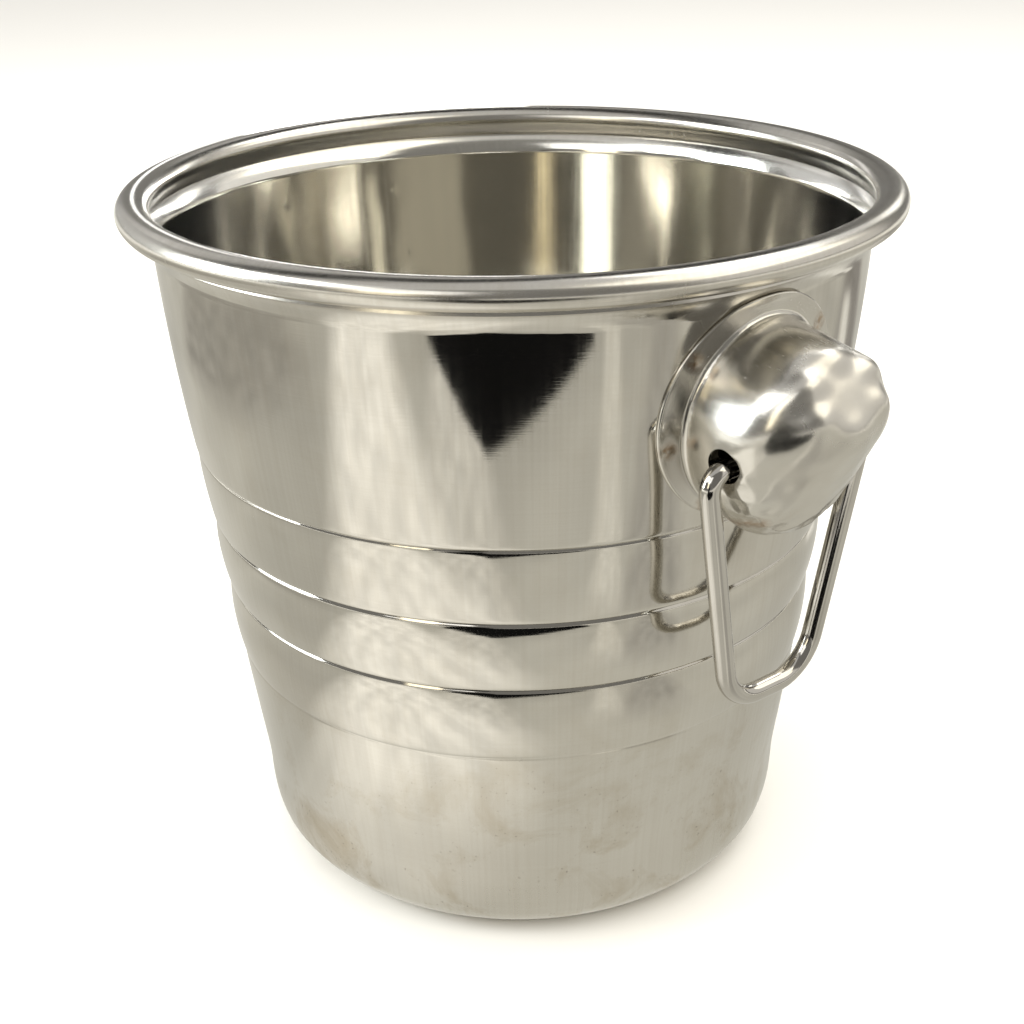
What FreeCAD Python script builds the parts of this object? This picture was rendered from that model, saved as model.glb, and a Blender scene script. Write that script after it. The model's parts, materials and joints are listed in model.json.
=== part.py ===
import FreeCAD, Part
import math
import os

# Champagne bucket: one drawn sheet-metal shell, two pressed knobs, two wire bails.
# Millimetres, +Z up, origin at the centre of the footprint, knobs on +X and -X.

V = FreeCAD.Vector

# sheet and overall sizes
SHEET_T = 0.8
RIM_OUTER_R = 105.0
RIM_TOP_Z = 197.0

# outside of the wall: creases as (radius, height), from the shoulder down
CREASE_SHOULDER = (96.5, 183.6)
CREASE_1 = (91.4, 128.0)
CREASE_2 = (88.5, 106.3)
CREASE_3 = (86.1, 86.0)
CREASE_4 = (84.4, 64.8)
BULGE_UPPER = 0.62
BULGE_BAND_1 = 0.45
BULGE_BAND_2 = 0.8
BULGE_BAND_3 = 0.85
WAIST = (79.4, 23.2)
WALL_END = (79.3, 14.4)
BULGE_LOWER = 0.07
BULGE_FOOT = 0.25

# base
CORNER_R = 14.4
FOOT_OUTER_R = 64.9
FOOT_INNER_R = 54.0
DISH_STEP_R = 48.0
DISH_RISE = 1.6

# rolled rim
ROLL_WIDTH = 8.8
ROLL_HEIGHT = 7.5
ROLL_START_DEG = 212.0
ROLL_END_DEG = -112.0
NECK = (99.0, 187.9)
COVE_MID = (97.35, 186.2)
COVE_LEAN_DEG = 30.0

# knob: pressed shell on a round flange
KNOB_Z = 155.8
FLANGE_R = 28.0
FLANGE_RISE = 1.8
FLANGE_T = 0.9
KNOB_T = 0.9
# sections of the knob, root to nose: crown out and up, belly out and up, half width, lobe depth
KNOB_SECTIONS = (
    (-7.0, 24.2, -7.0, -23.2, 20.6, 0.00),
    (0.0, 24.6, 0.0, -24.8, 21.4, 0.00),
    (5.0, 23.9, 6.0, -27.0, 21.8, 0.00),
    (10.0, 23.0, 11.5, -27.0, 21.8, 0.00),
    (13.8, 22.4, 16.6, -24.4, 21.3, 0.00),
    (16.6, 22.0, 20.4, -19.2, 20.3, 0.00),
    (18.6, 21.7, 23.6, -13.6, 18.9, 0.00),
    (20.0, 21.5, 26.8, -8.2, 17.3, 0.01),
    (21.0, 21.2, 29.6, -3.2, 15.6, 0.02),
    (21.8, 20.6, 31.3, 1.2, 13.8, 0.035),
    (22.7, 19.4, 31.6, 4.6, 11.4, 0.035),
    (24.0, 17.4, 30.4, 7.4, 8.2, 0.02),
    (25.5, 15.3, 28.8, 10.2, 4.4, 0.01),
    (26.6, 13.9, 27.7, 12.2, 1.6, 0.00),
)
CHEEK_MAX = 21.8
LOBES = 6
SECTION_POINTS = 48
ROOT_FILLET_R = 2.0
SPOT_WELDS_DEG = (41.0, 143.0, 193.0, 238.0, 303.0, 350.0)
SPOT_RING_R = 25.6
SPOT_BALL_R = 4.0
SPOT_DEPTH = 0.35

# bail: round wire, both ends turned inward through the knob's side holes
WIRE_D = 5.0
PIVOT_OUT = 11.0
PIVOT_DROP = 5.0
HOLE_R = 4.25
HOLE_LIFT = 0.8
BAIL_HALF_TOP = 26.0
BAIL_HALF_BOTTOM = 13.2
BAIL_DROP = 64.0
BAIL_END_HALF = 15.5
BEND_TOP_R = 4.4
BEND_BOTTOM_R = 12.0


def rz(r, z):
    """Point of the half section at radius r and height z."""
    return V(r, 0, z)


def arc3(a, m, b):
    """Arc edge through three (radius, height) points, held as a spline."""
    edge = Part.Arc(rz(*a), rz(*m), rz(*b)).toShape()
    return edge.Curve.toBSpline(edge.FirstParameter, edge.LastParameter).toShape()


def line2(a, b):
    """Straight edge between two (radius, height) points."""
    return Part.makeLine(rz(*a), rz(*b))


def bulged(a, b, sag):
    """Middle point of a band from a to b, pushed outward by sag."""
    mid_r = (a[0] + b[0]) / 2
    mid_z = (a[1] + b[1]) / 2
    run = math.hypot(b[0] - a[0], b[1] - a[1])
    return (mid_r + sag * abs(b[1] - a[1]) / run, mid_z - sag * abs(b[0] - a[0]) / run)


def shifted(p, dr, dz=0.0):
    """Point p moved by dr in radius and dz in height."""
    return (p[0] + dr, p[1] + dz)


def revolve(edges):
    """Solid of revolution about Z from closed section edges."""
    face = Part.Face(Part.Wire(edges))
    return face.revolve(V(0, 0, 0), V(0, 0, 1), 360)


def wall_side(offset):
    """Wall edges from the shoulder crease to the base corner, moved inward by offset."""
    creases = [CREASE_SHOULDER, CREASE_1, CREASE_2, CREASE_3, CREASE_4, WAIST, WALL_END]
    bulges = [BULGE_UPPER, BULGE_BAND_1, BULGE_BAND_2, BULGE_BAND_3, BULGE_LOWER, BULGE_FOOT]
    edges = []
    for upper, lower, sag in zip(creases[:-1], creases[1:], bulges):
        mid = bulged(upper, lower, sag)
        edges.append(arc3(shifted(upper, -offset), shifted(mid, -offset), shifted(lower, -offset)))
    return edges


def base_side(offset):
    """Base edges from the corner to the axis, lifted and drawn in by offset."""
    start = shifted(WALL_END, -offset)
    foot_outer = (FOOT_OUTER_R, offset)
    centre = (FOOT_OUTER_R, CORNER_R)
    lean = math.radians(-45.0)
    reach = CORNER_R - offset
    mid = (centre[0] + reach * math.cos(lean), centre[1] + reach * math.sin(lean))
    foot_inner = (FOOT_INNER_R, offset)
    dish_edge = (DISH_STEP_R, DISH_RISE + offset)
    dish_centre = (0.0, DISH_RISE + offset)
    return [arc3(start, mid, foot_outer), line2(foot_outer, foot_inner),
            line2(foot_inner, dish_edge), line2(dish_edge, dish_centre)]


def roll_point(angle_deg, inset):
    """Point of the rim roll's oval section, drawn in by inset."""
    a = math.radians(angle_deg)
    half_w = ROLL_WIDTH / 2 - inset
    half_h = ROLL_HEIGHT / 2 - inset
    centre_r = RIM_OUTER_R - ROLL_WIDTH / 2
    centre_z = RIM_TOP_Z - ROLL_HEIGHT / 2
    return rz(centre_r + half_w * math.cos(a), centre_z + half_h * math.sin(a))


def roll_curve(start_deg, end_deg, inset):
    """Spline edge that follows the rim roll clockwise from start to end."""
    count = 40
    step = (end_deg - start_deg) / count
    points = [roll_point(start_deg + i * step, inset) for i in range(count + 1)]
    curve = Part.BSplineCurve()
    curve.interpolate(points)
    return curve.toShape()


def make_bucket_body():
    """Drawn shell: dished base, creased wall, cove, neck and open rolled rim."""
    lean = math.radians(COVE_LEAN_DEG)
    step_r = -SHEET_T * math.cos(lean)
    step_z = SHEET_T * math.sin(lean)
    neck_in = shifted(NECK, step_r, step_z)
    cove_in = shifted(COVE_MID, step_r, step_z)
    shoulder_in = shifted(CREASE_SHOULDER, -SHEET_T)
    outer_start = roll_point(ROLL_START_DEG, 0.0)
    inner_start = roll_point(ROLL_START_DEG, SHEET_T)
    outer_end = roll_point(ROLL_END_DEG, 0.0)
    inner_end = roll_point(ROLL_END_DEG, SHEET_T)
    edges = wall_side(0.0) + base_side(0.0)
    edges.append(line2((0.0, DISH_RISE), (0.0, DISH_RISE + SHEET_T)))
    edges += base_side(SHEET_T) + wall_side(SHEET_T)
    edges.append(arc3(shoulder_in, cove_in, neck_in))
    edges.append(Part.makeLine(rz(*neck_in), outer_start))
    edges.append(roll_curve(ROLL_START_DEG, ROLL_END_DEG, 0.0))
    edges.append(Part.makeLine(outer_end, inner_end))
    edges.append(roll_curve(ROLL_END_DEG, ROLL_START_DEG, SHEET_T))
    edges.append(Part.makeLine(inner_start, rz(*NECK)))
    edges.append(arc3(NECK, COVE_MID, CREASE_SHOULDER))
    return revolve(Part.sortEdges(edges)[0])


def band_radius(z, lift):
    """Radius at height z of the upper band's arc, lifted off the wall by lift."""
    mid = bulged(CREASE_SHOULDER, CREASE_1, BULGE_UPPER)
    circle = Part.Arc(rz(*CREASE_SHOULDER), rz(*mid), rz(*CREASE_1)).toShape().Curve
    centre = circle.Center
    return centre.x + math.sqrt((circle.Radius + lift) ** 2 - (z - centre.z) ** 2)


def band_edge(z_low, z_high, lift):
    """Arc edge that follows the upper band between two heights."""
    z_mid = (z_low + z_high) / 2
    ends = [(band_radius(z, lift), z) for z in (z_low, z_mid, z_high)]
    return arc3(*ends)


def make_wall_core(z_low, z_high):
    """Solid that fills the inside of the upper band, used to trim the knobs."""
    edge = band_edge(z_low, z_high, 0.0)
    low = (band_radius(z_low, 0.0), z_low)
    high = (band_radius(z_high, 0.0), z_high)
    edges = [edge, line2(high, (0.0, z_high)), line2((0.0, z_high), (0.0, z_low)), line2((0.0, z_low), low)]
    return revolve(Part.sortEdges(edges)[0])


def make_flange(z_low):
    """Round flange that lies on the wall around the knob's root and up the foot of the cove."""
    z_top = CREASE_SHOULDER[1]
    near = band_edge(z_low, z_top, 0.0)
    far = band_edge(z_low, z_top, FLANGE_T)
    shoulder_far = (band_radius(z_top, FLANGE_T), z_top)
    lean = math.atan2(COVE_MID[0] - CREASE_SHOULDER[0], COVE_MID[1] - CREASE_SHOULDER[1])
    cove_far = shifted(COVE_MID, FLANGE_T * math.cos(lean), -FLANGE_T * math.sin(lean))
    low = line2((band_radius(z_low, 0.0), z_low), (band_radius(z_low, FLANGE_T), z_low))
    edges = [near, far, low, line2(CREASE_SHOULDER, COVE_MID), line2(shoulder_far, cove_far)]
    edges.append(line2(COVE_MID, cove_far))
    band = revolve(Part.sortEdges(edges)[0])
    punch = Part.makeCylinder(FLANGE_R, RIM_OUTER_R, V(0, 0, KNOB_Z + FLANGE_RISE), V(1, 0, 0))
    return band.common(punch)


def knob_section(row, inset):
    """Closed wire across the knob at one section, drawn in by inset."""
    crown_x, crown_z, belly_x, belly_z, cheek, lobe = row
    side_share = cheek / CHEEK_MAX
    back_share = math.sqrt(1 - side_share ** 2)
    middle = V((crown_x + belly_x) / 2, 0, (crown_z + belly_z) / 2)
    upright = V(crown_x - belly_x, 0, crown_z - belly_z)
    half = upright.Length / 2 - inset * side_share
    upright.normalize()
    outward = V(upright.z, 0, -upright.x)
    origin = V(band_radius(KNOB_Z, 0.0), 0, KNOB_Z) + middle - outward * (inset * back_share)
    points = []
    for i in range(SECTION_POINTS):
        a = 2 * math.pi * i / SECTION_POINTS
        reach = 1 - lobe * (1 + math.cos(LOBES * a))
        across = V(0, (cheek - inset * side_share) * reach * math.cos(a), 0)
        points.append(origin + across + upright * (half * reach * math.sin(a)))
    curve = Part.BSplineCurve()
    curve.interpolate(Points=points, PeriodicFlag=True)
    return Part.Wire(curve.toShape())


def knob_loft(inset):
    """Smooth solid through all knob sections, drawn in by inset."""
    wires = [knob_section(row, inset) for row in KNOB_SECTIONS]
    return Part.makeLoft(wires, True, False)


def root_edges(shape):
    """Edges of shape where the bulb meets the top of the flange."""
    found = []
    for edge in shape.Edges:
        start, finish = edge.ParameterRange
        spots = [edge.valueAt(start + (finish - start) * i / 6) for i in range(7)]
        lifts = [math.hypot(p.x, p.y) - band_radius(p.z, FLANGE_T) for p in spots]
        rings = [math.hypot(p.y, p.z - KNOB_Z - FLANGE_RISE) for p in spots]
        if max(abs(lift) for lift in lifts) < 0.01 and max(rings) < FLANGE_R - 0.5:
            found.append(edge)
    return found


def make_knob():
    """Hollow pressed knob with flange, two punched holes and spot-weld dimples, on +X."""
    z_low = KNOB_Z - FLANGE_R - FLANGE_T
    z_high = KNOB_Z + FLANGE_R + FLANGE_T
    flange = make_flange(z_low)
    core = make_wall_core(z_low - FLANGE_R, z_high + FLANGE_R)
    bulb = knob_loft(0.0).cut(core)
    solid = flange.fuse(bulb)
    solid = solid.makeFillet(ROOT_FILLET_R, root_edges(solid))
    knob = solid.cut(knob_loft(KNOB_T))
    hole_x = band_radius(KNOB_Z, 0.0) + PIVOT_OUT
    hole_z = KNOB_Z - PIVOT_DROP + HOLE_LIFT
    hole = Part.makeCylinder(HOLE_R, 4 * FLANGE_R, V(hole_x, -2 * FLANGE_R, hole_z), V(0, 1, 0))
    knob = knob.cut(hole)
    for angle_deg in SPOT_WELDS_DEG:
        a = math.radians(angle_deg)
        z = KNOB_Z + FLANGE_RISE + SPOT_RING_R * math.sin(a)
        turn = SPOT_RING_R * math.cos(a) / band_radius(z, 0.0)
        ball_r = band_radius(z, FLANGE_T) + SPOT_BALL_R - SPOT_DEPTH
        centre = V(ball_r * math.cos(turn), ball_r * math.sin(turn), z)
        knob = knob.cut(Part.makeSphere(SPOT_BALL_R, centre))
    return knob


def rounded_path(points, radii):
    """Wire through points with its inner corners rounded to radii."""
    edges = []
    last = points[0]
    for before, corner, after, radius in zip(points[:-2], points[1:-1], points[2:], radii):
        back = (before - corner).normalize()
        ahead = (after - corner).normalize()
        half = back.getAngle(ahead) / 2
        cut = radius / math.tan(half)
        start = corner + back * cut
        end = corner + ahead * cut
        bisector = (back + ahead).normalize()
        middle = corner + bisector * (radius / math.sin(half) - radius)
        edges.append(Part.makeLine(last, start))
        edges.append(Part.Arc(start, middle, end).toShape())
        last = end
    edges.append(Part.makeLine(last, points[-1]))
    return Part.Wire(edges)


def make_bail():
    """Round-wire bail hanging from the +X knob."""
    x = band_radius(KNOB_Z, 0.0) + PIVOT_OUT
    top = KNOB_Z - PIVOT_DROP
    low = top - BAIL_DROP
    outline = [(-BAIL_END_HALF, top), (-BAIL_HALF_TOP, top), (-BAIL_HALF_BOTTOM, low),
               (BAIL_HALF_BOTTOM, low), (BAIL_HALF_TOP, top), (BAIL_END_HALF, top)]
    points = [V(x, y, z) for y, z in outline]
    radii = [BEND_TOP_R, BEND_BOTTOM_R, BEND_BOTTOM_R, BEND_TOP_R]
    path = rounded_path(points, radii)
    ring = Part.Wire(Part.makeCircle(WIRE_D / 2, points[0], V(0, 1, 0)))
    return path.makePipeShell([ring], True, False)


def half_turn(shape):
    """Copy of shape turned to the opposite side of the bucket."""
    turned = shape.copy()
    turned.rotate(V(0, 0, 0), V(0, 0, 1), 180)
    return turned


def main():
    """Build every piece and write one STEP file for each."""
    os.makedirs("parts", exist_ok=True)
    knob = make_knob()
    bail = make_bail()
    pieces = {
        "bucket_body": make_bucket_body(),
        "knob_right": knob,
        "knob_left": half_turn(knob),
        "bail_right": bail,
        "bail_left": half_turn(bail),
    }
    for name, shape in pieces.items():
        shape.exportStep("parts/" + name + ".step")


main()
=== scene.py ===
import json
import math

import bmesh
import bpy
import numpy as np
from mathutils import Matrix, Vector


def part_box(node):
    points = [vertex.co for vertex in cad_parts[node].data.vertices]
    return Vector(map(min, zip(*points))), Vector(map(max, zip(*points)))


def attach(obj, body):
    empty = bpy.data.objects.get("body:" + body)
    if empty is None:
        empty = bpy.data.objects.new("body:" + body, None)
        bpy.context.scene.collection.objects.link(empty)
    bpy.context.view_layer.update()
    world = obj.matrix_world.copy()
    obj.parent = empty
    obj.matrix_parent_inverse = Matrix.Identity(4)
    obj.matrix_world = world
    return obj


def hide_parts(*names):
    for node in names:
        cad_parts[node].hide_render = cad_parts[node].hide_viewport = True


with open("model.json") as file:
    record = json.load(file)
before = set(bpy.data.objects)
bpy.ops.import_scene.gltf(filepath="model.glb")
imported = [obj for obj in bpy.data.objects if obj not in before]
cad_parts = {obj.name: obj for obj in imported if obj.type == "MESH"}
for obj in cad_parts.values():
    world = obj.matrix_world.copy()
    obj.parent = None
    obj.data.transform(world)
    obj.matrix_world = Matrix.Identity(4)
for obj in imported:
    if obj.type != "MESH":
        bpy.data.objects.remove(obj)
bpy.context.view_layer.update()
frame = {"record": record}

MM = 0.001

# ---------------------------------------------------------------- camera
# The bucket is seen from above its rim, from the front-right, with its right-hand knob nearest.
CAM_AZIMUTH = math.radians(53.3)
CAM_DISTANCE = 0.3927
CAM_HEIGHT = 0.2819
CAM_PITCH = 0.444
CAM_YAW = -0.004
CAM_ROLL = -0.019
CAM_LENS = 50.86


def make_camera():
    """Camera with a set place, a small pan off the axis and a small roll."""
    data = bpy.data.cameras.new("camera")
    data.lens = CAM_LENS
    data.sensor_width = 36.0
    data.clip_start = 0.01
    data.clip_end = 50.0
    cam = bpy.data.objects.new("camera", data)
    bpy.context.scene.collection.objects.link(cam)
    level = math.cos(CAM_PITCH)
    forward = Vector((math.sin(CAM_YAW) * level, math.cos(CAM_YAW) * level, -math.sin(CAM_PITCH)))
    side = Vector((math.cos(CAM_YAW), -math.sin(CAM_YAW), 0))
    up = side.cross(forward)
    right = side * math.cos(CAM_ROLL) + up * math.sin(CAM_ROLL)
    top = up * math.cos(CAM_ROLL) - side * math.sin(CAM_ROLL)
    local = Matrix((right, top, -forward)).transposed().to_4x4()
    local.translation = Vector((0, -CAM_DISTANCE, CAM_HEIGHT))
    cam.matrix_world = Matrix.Rotation(CAM_AZIMUTH, 4, "Z") @ local
    bpy.context.scene.camera = cam


make_camera()


# ---------------------------------------------------------------- shared shape of the wall, in mm
SHEET = 0.8
SHOULDER = (96.5, 183.6)
CREASES = (SHOULDER, (91.4, 128.0), (88.5, 106.3), (86.1, 86.0), (84.4, 64.8), (79.4, 23.2), (79.3, 14.4))
BULGES = (0.62, 0.32, 0.80, 0.85, 0.07, 0.30)
GROOVE_DEPTHS = (0.0, 0.20, 0.22, 0.22, 0.10, 0.0, 0.0)
GROOVE_WIDTH = 0.42
DIPS = (0.0, 0.48, 0.66, 0.46, 0.10, 0.0, 0.0)
DIP_REACH = 4.0
# share of a groove's depth that shows on the inside of the sheet
GROOVE_INSIDE = 0.7
CORNER_R = 14.4
FOOT_OUTER = CREASES[-1][0] - CORNER_R
FOOT_INNER = 54.0
DISH_STEP = 48.0
DISH_RISE = 1.6
RIM_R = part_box("bucket_body")[1].y / MM
RIM_TOP = 197.0
ROLL_W = 8.8
ROLL_H = 7.5
ROLL_FROM = 212.0
ROLL_TO = -112.0
NECK = (99.0, 187.9)
COVE_MID = (97.35, 186.2)


def bend(a, control, b, count):
    """Points of a quadratic curve from a to b, both kept."""
    t = np.linspace(0, 1, count)[:, None]
    return (1 - t) ** 2 * np.array(a) + 2 * t * (1 - t) * np.array(control) + t ** 2 * np.array(b)


def wall_radius(z):
    """Outer radius of the wall at heights z between the base corner and the neck."""
    z = np.asarray(z, float)
    cove = bend(SHOULDER, COVE_MID, NECK, 24)
    radius = np.where(z > SHOULDER[1], np.interp(z, cove[:, 1], cove[:, 0]), 0.0)
    for (r_top, z_top), (r_low, z_low), sag in zip(CREASES[:-1], CREASES[1:], BULGES):
        share = (z - z_low) / (z_top - z_low)
        curve = r_low + (r_top - r_low) * share + sag * (1 - (2 * share - 1) ** 2)
        radius = np.where((share >= 0) & (share <= 1), curve, radius)
    return radius


def groove(z):
    """Depth of the rolled grooves at heights z."""
    depth = np.zeros_like(z)
    for (_, z_line), amount, dip in zip(CREASES, GROOVE_DEPTHS, DIPS):
        depth = depth + amount * np.exp(-((z - z_line) / GROOVE_WIDTH) ** 2)
        reach = np.where(z > z_line, 0.5, DIP_REACH)
        depth = depth + dip * np.exp(-np.abs(z - z_line) / reach)
    return depth


def wall_heights():
    """Heights down the wall, close together at each groove."""
    spots = [np.arange(SHOULDER[1], CREASES[1][1], -1.1)]
    for (_, z_top), (_, z_low) in zip(CREASES[1:-1], CREASES[2:]):
        spots.append(np.arange(z_top, z_low, -1.5))
    for _, z_line in CREASES[1:5]:
        spots.append(z_line + np.arange(-1.6, 1.61, 0.16))
        spots.append(z_line - np.arange(1.8, 7.0, 0.5))
    z = np.unique(np.round(np.concatenate(spots), 2))[::-1]
    z = z[(z < SHOULDER[1]) & (z > CREASES[-1][1] + 0.5)]
    keep = [z[0]]
    for value in z[1:]:
        if keep[-1] - value > 0.09:
            keep.append(value)
    return np.array(keep)


# ---------------------------------------------------------------- mesh helpers
def mesh_object(name, points, faces):
    """Smooth-shaded object from points in mm and a list of faces."""
    mesh = bpy.data.meshes.new(name)
    mesh.from_pydata([tuple(p) for p in np.asarray(points) * MM], [], faces)
    mesh.validate()
    obj = bpy.data.objects.new(name, mesh)
    bpy.context.scene.collection.objects.link(obj)
    tidy_mesh(mesh)
    return obj


SHARP_DEG = 35.0


def tidy_mesh(mesh):
    """Merge coincident points, face everything outward, shade smooth with sharp edges kept."""
    work = bmesh.new()
    work.from_mesh(mesh)
    bmesh.ops.remove_doubles(work, verts=work.verts, dist=2e-6)
    bmesh.ops.dissolve_degenerate(work, edges=work.edges, dist=1e-7)
    bmesh.ops.recalc_face_normals(work, faces=work.faces)
    limit = math.radians(SHARP_DEG)
    for face in work.faces:
        face.smooth = True
    for edge in work.edges:
        edge.smooth = len(edge.link_faces) != 2 or edge.calc_face_angle(0.0) < limit
    work.to_mesh(mesh)
    work.free()
    mesh.update()


def grid_faces(rows, columns, start=0):
    """Quads of a grid whose columns close into a ring."""
    faces = []
    for i in range(rows - 1):
        for j in range(columns):
            k = (j + 1) % columns
            a = start + i * columns
            b = a + columns
            faces.append((a + j, a + k, b + k, b + j))
    return faces


def spline(values, marks, count):
    """Natural cubic spline through rows of values at the given marks, read at count even steps."""
    n = len(marks)
    h = np.diff(marks)
    system = np.eye(n)
    right = np.zeros((n, values.shape[1]))
    for i in range(1, n - 1):
        system[i, i - 1:i + 2] = (h[i - 1], 2 * (h[i - 1] + h[i]), h[i])
        right[i] = 6 * ((values[i + 1] - values[i]) / h[i] - (values[i] - values[i - 1]) / h[i - 1])
    curve = np.linalg.solve(system, right)
    at = np.linspace(marks[0], marks[-1], count)
    i = np.clip(np.searchsorted(marks, at, side="right") - 1, 0, n - 2)
    left = ((marks[i + 1] - at) / h[i])[:, None]
    rest = 1 - left
    bow = ((left ** 3 - left) * curve[i] + (rest ** 3 - rest) * curve[i + 1]) * (h[i] ** 2)[:, None] / 6
    return left * values[i] + rest * values[i + 1] + bow


# ---------------------------------------------------------------- knob and bail places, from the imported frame
knob_low, knob_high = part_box("knob_right")
FLANGE_R = (knob_high.y - knob_low.y) / 2 / MM
FLANGE_RISE = 1.8
KNOB_Z = knob_high.z / MM - FLANGE_R - FLANGE_RISE
WALL_AT_KNOB = float(wall_radius(KNOB_Z))
FLANGE_T = 0.9
KNOB_T = 0.9
SPOT_WELDS = (41.0, 143.0, 193.0, 238.0, 303.0, 350.0)
SPOT_RING = 25.6
FOOT_REACH = 1.5
FILLET_REACH = 1.9
# sections of the knob, root to nose: crown out and up, belly out and up, half width, lobe depth
SECTIONS = np.array((
    (-7.0, 24.2, -7.0, -23.2, 20.6, 0.00),
    (0.0, 24.6, 0.0, -24.8, 21.4, 0.00),
    (5.0, 23.9, 6.0, -27.0, 21.8, 0.00),
    (10.0, 23.0, 11.5, -27.0, 21.8, 0.00),
    (13.8, 22.4, 16.6, -24.4, 21.3, 0.00),
    (16.6, 22.0, 20.4, -19.2, 20.3, 0.00),
    (18.6, 21.7, 23.6, -13.6, 18.9, 0.00),
    (20.0, 21.5, 26.8, -8.2, 17.3, 0.01),
    (21.0, 21.2, 29.6, -3.2, 15.6, 0.02),
    (21.8, 20.6, 31.3, 1.2, 13.8, 0.035),
    (22.7, 19.4, 31.6, 4.6, 11.4, 0.035),
    (24.0, 17.4, 30.4, 7.4, 8.2, 0.02),
    (25.5, 15.3, 28.8, 10.2, 4.4, 0.01),
    (26.6, 13.9, 27.7, 12.2, 1.6, 0.00),
))
LOBES = 6
AROUND = 240
ALONG = 150
BULB_ROWS = 110
RIM_ROWS = 6
PLATE_ROWS = 8
# height of the skins above the wall where they would otherwise touch it
WALL_GAP = 0.03
hinge = {j["name"]: j for j in frame["record"]["behaviour"]["joints"]}["bail_right_swing"]
PIVOT_X = hinge["pos_m"][0] / MM
PIVOT_Z = hinge["pos_m"][2] / MM
HOLE_R = 4.25
HOLE_LIFT = 0.8
PUNCH_REACH = 40.0


def spot_weld_places():
    """Sideways distance and height above the knob's middle of each spot weld."""
    angles = np.radians(np.array(SPOT_WELDS))
    return np.stack([SPOT_RING * np.cos(angles), SPOT_RING * np.sin(angles) + FLANGE_RISE], 1)


# ---------------------------------------------------------------- bucket shell
def roll_points(inset, begin, end, count):
    """Points of the rim roll's oval, drawn in by inset, from one angle to another."""
    angles = np.radians(np.linspace(begin, end, count))
    r = RIM_R - ROLL_W / 2 + (ROLL_W / 2 - inset) * np.cos(angles)
    z = RIM_TOP - ROLL_H / 2 + (ROLL_H / 2 - inset) * np.sin(angles)
    return np.stack([r, z], 1)


def base_points(offset):
    """Base section from the wall's corner to the axis, drawn in by offset."""
    turn = np.radians(np.linspace(0, 90, 28))
    reach = CORNER_R - offset
    corner = np.stack([FOOT_OUTER + reach * np.cos(turn), CORNER_R - reach * np.sin(turn)], 1)
    ring = np.linspace(FOOT_OUTER, FOOT_INNER, 5)[1:-1]
    foot = np.stack([ring, np.full_like(ring, offset)], 1)
    share = np.linspace(0, 1, 9)
    step_r = FOOT_INNER + (DISH_STEP - FOOT_INNER) * share
    step = np.stack([step_r, offset + DISH_RISE * (3 * share ** 2 - 2 * share ** 3)], 1)
    centre = np.linspace(DISH_STEP, 0, 14)[1:]
    dish = np.stack([centre, np.full_like(centre, offset + DISH_RISE)], 1)
    return np.concatenate([corner, foot, step, dish])


def eased(points, below, passes):
    """Open line of points with the part below a height eased into a flowing curve."""
    points = points.copy()
    for _ in range(passes):
        middle = (points[:-2] + 2 * points[1:-1] + points[2:]) / 4
        held = (points[1:-1, 1] > below) | (points[1:-1, 1] < 9.0)
        points[1:-1] = np.where(held[:, None], points[1:-1], middle)
    return points


def shell_section():
    """Closed half section: down the outside, under the base, up the inside, round the rim."""
    z = wall_heights()
    radius, depth = wall_radius(z), groove(z)
    outer = np.concatenate([np.stack([radius - depth, z], 1), base_points(0.0)])
    inside = radius - SHEET - GROOVE_INSIDE * depth
    inner = np.concatenate([np.stack([inside, z], 1), base_points(SHEET)])
    outer = eased(outer, 30.0, 14)
    inner = eased(inner, 30.0, 14)[::-1]
    lean = math.radians(30)
    off = np.array((-SHEET * math.cos(lean), SHEET * math.sin(lean)))
    neck_in = np.array(NECK) + off
    cove_in = bend((SHOULDER[0] - SHEET, SHOULDER[1]), np.array(COVE_MID) + off, neck_in, 12)
    roll_out = roll_points(0.0, ROLL_FROM, ROLL_TO, 84)
    throat = bend(neck_in, neck_in + (-0.1, 1.0), roll_out[0], 7)[1:-1]
    roll_in = roll_points(SHEET, ROLL_TO, ROLL_FROM, 48)
    back = bend(roll_in[-1], np.array(NECK) + (-0.3, 1.3), NECK, 6)[1:-1]
    cove_out = bend(NECK, COVE_MID, SHOULDER, 12)
    return np.concatenate([outer, inner, cove_in, throat, roll_out, roll_in, back, cove_out])


def waviness(angle, z):
    """Slight unevenness of a spun and polished wall."""
    rise = np.clip((z - 20.0) / 60.0, 0, 1) * np.clip((187.0 - z) / 20.0, 0, 1)
    swell = 0.06 * np.sin(2 * angle + 0.7) + 0.04 * np.sin(3 * angle + 0.013 * z)
    ripple = 0.012 * np.sin(7 * angle + 0.05 * z) + 0.008 * np.sin(11 * angle - 0.11 * z + 1.3)
    return rise * (swell + ripple)


SHELL_COLUMNS = 640
# share by which the shell's columns are drawn together towards the knobs
CROWDING = 0.35
WELD_DENT = 0.07
WELD_DENT_REACH = 0.9
WELD_PULL_REACH = 7.0


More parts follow.
